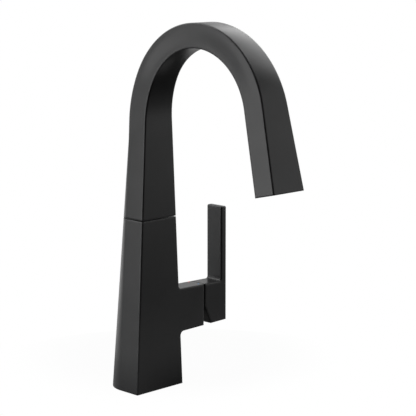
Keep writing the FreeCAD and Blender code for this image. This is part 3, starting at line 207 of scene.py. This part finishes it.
def steel():
    finish = Finish("turned_steel", (0.58, 0.58, 0.58), 0.28, metallic=1.0)
    finish.vary_roughness(90.0, 0.22, 0.34)
    finish.grain(60.0, 0.00002, 0.4, stretch=(1.0, 1.0, 30.0))
    return finish.material


def seal_rubber():
    finish = Finish("seal_rubber", (0.022, 0.022, 0.022), 0.7, specular=0.3)
    finish.vary_roughness(120.0, 0.62, 0.78)
    finish.grain(800.0, 0.00004, 0.6)
    return finish.material


def enamel(name, dark, light):
    """The filled dot of a mark."""
    finish = Finish(name, light, 0.35, specular=0.1)
    finish.vary_colour(600.0, dark, light)
    finish.grain(1500.0, 0.000008, 0.5)
    return finish.material


finishes = {
    "satin_black": satin_black(),
    "black_plastic": black_plastic(),
    "grey_plastic": grey_plastic(),
    "white_plastic": white_plastic(),
    "hose_plastic": hose_plastic(),
    "ceramic": ceramic(),
    "brass": brass(),
    "steel": steel(),
    "seal_rubber": seal_rubber(),
    "hot_red": enamel("hot_red_enamel", (0.80, 0.015, 0.010), (0.95, 0.025, 0.018)),
    "cold_blue": enamel("cold_blue_enamel", (0.03, 0.22, 0.52), (0.05, 0.27, 0.60)),
}
for part in frame["record"]["subparts"]:
    mesh = frame["nodes"][part["node"]].data
    mesh.materials.clear()
    mesh.materials.append(finishes[part["material_slot"]])


# ---- deck, studio and lamps

DECK_MIDDLE, DECK_RADIUS = (0.0, -0.05, 0.0), 0.26
PAINTED_SHADOW_SPOT = (0.10, 0.11, 0.0)      # from the deck's middle, beyond the handle: a painted shadow, where the deck's glow is taken away so it is dark in reflections
PAINTED_SHADOW_SPOT_EDGE = (0.09, 0.19)      # radii at which it starts to fade and is gone
SHADOW_KEPT = 0.03                 # the part of the deck's own paint that the camera sees
BEHIND = (0.7071, 0.7071, 0.0)     # the way the camera looks, along the deck
WHITE = (1.0, 1.0, 1.0, 1.0)


def seen_directly(tree):
    """1 for what the camera sees, straight, in a reflection or through glass."""
    path = tree.nodes.new("ShaderNodeLightPath")
    mirrored = larger(tree, path.outputs["Is Camera Ray"], path.outputs["Is Glossy Ray"])
    return larger(tree, mirrored, path.outputs["Is Transmission Ray"])


def lay_deck():
    """A pale round deck that keeps the object's faint soft shadow in its paint and fades into the
    white background; round a spot beyond the handle its glow gives way to its dark paint, a
    painted shadow that shows faintly to the camera and strongly in reflections.
    """
    bpy.ops.mesh.primitive_circle_add(vertices=96, radius=DECK_RADIUS, fill_type="NGON",
                                      location=DECK_MIDDLE)
    floor = bpy.context.object
    floor.name = "pale_deck"
    material = bpy.data.materials.new("pale_deck_paint")
    material.use_nodes = True
    tree = material.node_tree
    paint = tree.nodes["Principled BSDF"]
    paint.inputs["Base Color"].default_value = (0.12, 0.12, 0.12, 1.0)
    paint.inputs["Roughness"].default_value = 0.8
    paint.inputs["Specular IOR Level"].default_value = 0.2
    glow = tree.nodes.new("ShaderNodeEmission")
    glow.inputs["Color"].default_value = WHITE
    place = tree.nodes.new("ShaderNodeTexCoord")
    distance = tree.nodes.new("ShaderNodeVectorMath")
    distance.operation = "DISTANCE"
    distance.inputs[1].default_value = PAINTED_SHADOW_SPOT
    tree.links.new(place.outputs["Object"], distance.inputs[0])
    path = tree.nodes.new("ShaderNodeLightPath")
    # Painted shadow round the spot: the glow falls to 0.97 for the camera and to 0.05 in
    # reflections, and the dark paint shows instead
    least = spread(tree, path.outputs["Is Camera Ray"], 0.0, 1.0, 0.05, 1.0 - SHADOW_KEPT)
    share = spread(tree, distance.outputs["Value"], *PAINTED_SHADOW_SPOT_EDGE, 0.0, 1.0)
    tree.links.new(least, share.node.inputs["To Min"])
    mix = tree.nodes.new("ShaderNodeMixShader")
    tree.links.new(product(tree, share, seen_directly(tree)), mix.inputs["Fac"])
    tree.links.new(paint.outputs["BSDF"], mix.inputs[1])
    tree.links.new(glow.outputs["Emission"], mix.inputs[2])
    tree.links.new(mix.outputs["Shader"], tree.nodes["Material Output"].inputs["Surface"])
    floor.data.materials.append(material)


def light_studio():
    """White behind everything, and a studio that is dim on the photographer's side and below."""
    world = bpy.data.worlds.new("studio")
    bpy.context.scene.world = world
    world.use_nodes = True
    tree = world.node_tree
    background = tree.nodes["Background"]
    background.inputs["Color"].default_value = WHITE
    place = tree.nodes.new("ShaderNodeTexCoord")
    behind = tree.nodes.new("ShaderNodeVectorMath")
    behind.operation = "DOT_PRODUCT"
    behind.inputs[1].default_value = BEHIND
    tree.links.new(place.outputs["Generated"], behind.inputs[0])
    height = tree.nodes.new("ShaderNodeSeparateXYZ")
    tree.links.new(place.outputs["Generated"], height.inputs[0])
    far_side = spread(tree, behind.outputs["Value"], -0.20, 0.35, 0.05, 1.0)
    not_below = spread(tree, height.outputs["Z"], -0.56, -0.36, 0.05, 1.0)
    level = spread(tree, seen_directly(tree), 0.0, 1.0, 0.45, 1.0)
    lit = product(tree, product(tree, far_side, not_below), level)
    path = tree.nodes.new("ShaderNodeLightPath")
    strength = larger(tree, lit, path.outputs["Is Camera Ray"])
    tree.links.new(strength, background.inputs["Strength"])


# each with its place, the point it is aimed at, its width and height in metres, and its watts
SOFTBOXES = {
    "left_softbox": ((-1.15, 0.49, 0.24), (0.0, -0.06, 0.22), (0.80, 0.85), 17.4),
    "rear_left_softbox": ((-0.24, 1.13, 0.22), (0.0, 0.0, 0.18), (0.75, 0.80), 3.5),
    "top_softbox": ((0.32, -0.36, 1.45), (0.0, -0.10, 0.36), (0.70, 0.70), 7.5),
    "rear_softbox": ((-0.42, 0.62, 1.12), (0.0, -0.08, 0.34), (1.10, 0.90), 18.0),
    "overhead_softbox": ((1.03, 0.05, 1.08), (0.0, -0.10, 0.33), (1.30, 0.80), 10.0),
    "right_softbox": ((0.90, -1.06, 0.40), (0.0, -0.10, 0.25), (0.80, 1.00), 4.4),
}


def hang_softbox(name, place, aim, size, power):
    bpy.ops.object.light_add(type="AREA", location=place)
    lamp = bpy.context.object
    lamp.name = name
    lamp.data.shape = "RECTANGLE"
    lamp.data.size, lamp.data.size_y = size
    lamp.data.energy = power
    lamp.visible_camera = False
    steer = Vector(aim) - Vector(place)
    lamp.rotation_euler = steer.to_track_quat("-Z", "Y").to_euler()


lay_deck()
light_studio()
for name, settings in SOFTBOXES.items():
    hang_softbox(name, *settings)


# ---- camera, at the photograph's angle

CAMERA_PLACE = (-0.9966, -1.0908, 0.4410)
CAMERA_TILT, CAMERA_TURN = 80.05, -45.0    # degrees: 9.95 down from level, towards +X +Y
CAMERA_LENS, CAMERA_SENSOR = 129.81, 36.0


def set_camera():
    bpy.ops.object.camera_add(location=CAMERA_PLACE)
    camera = bpy.context.object
    camera.rotation_euler = (math.radians(CAMERA_TILT), 0.0, math.radians(CAMERA_TURN))
    camera.data.lens = CAMERA_LENS
    camera.data.sensor_width = CAMERA_SENSOR
    bpy.context.scene.camera = camera


set_camera()
bpy.context.scene.view_settings.view_transform = "Standard"
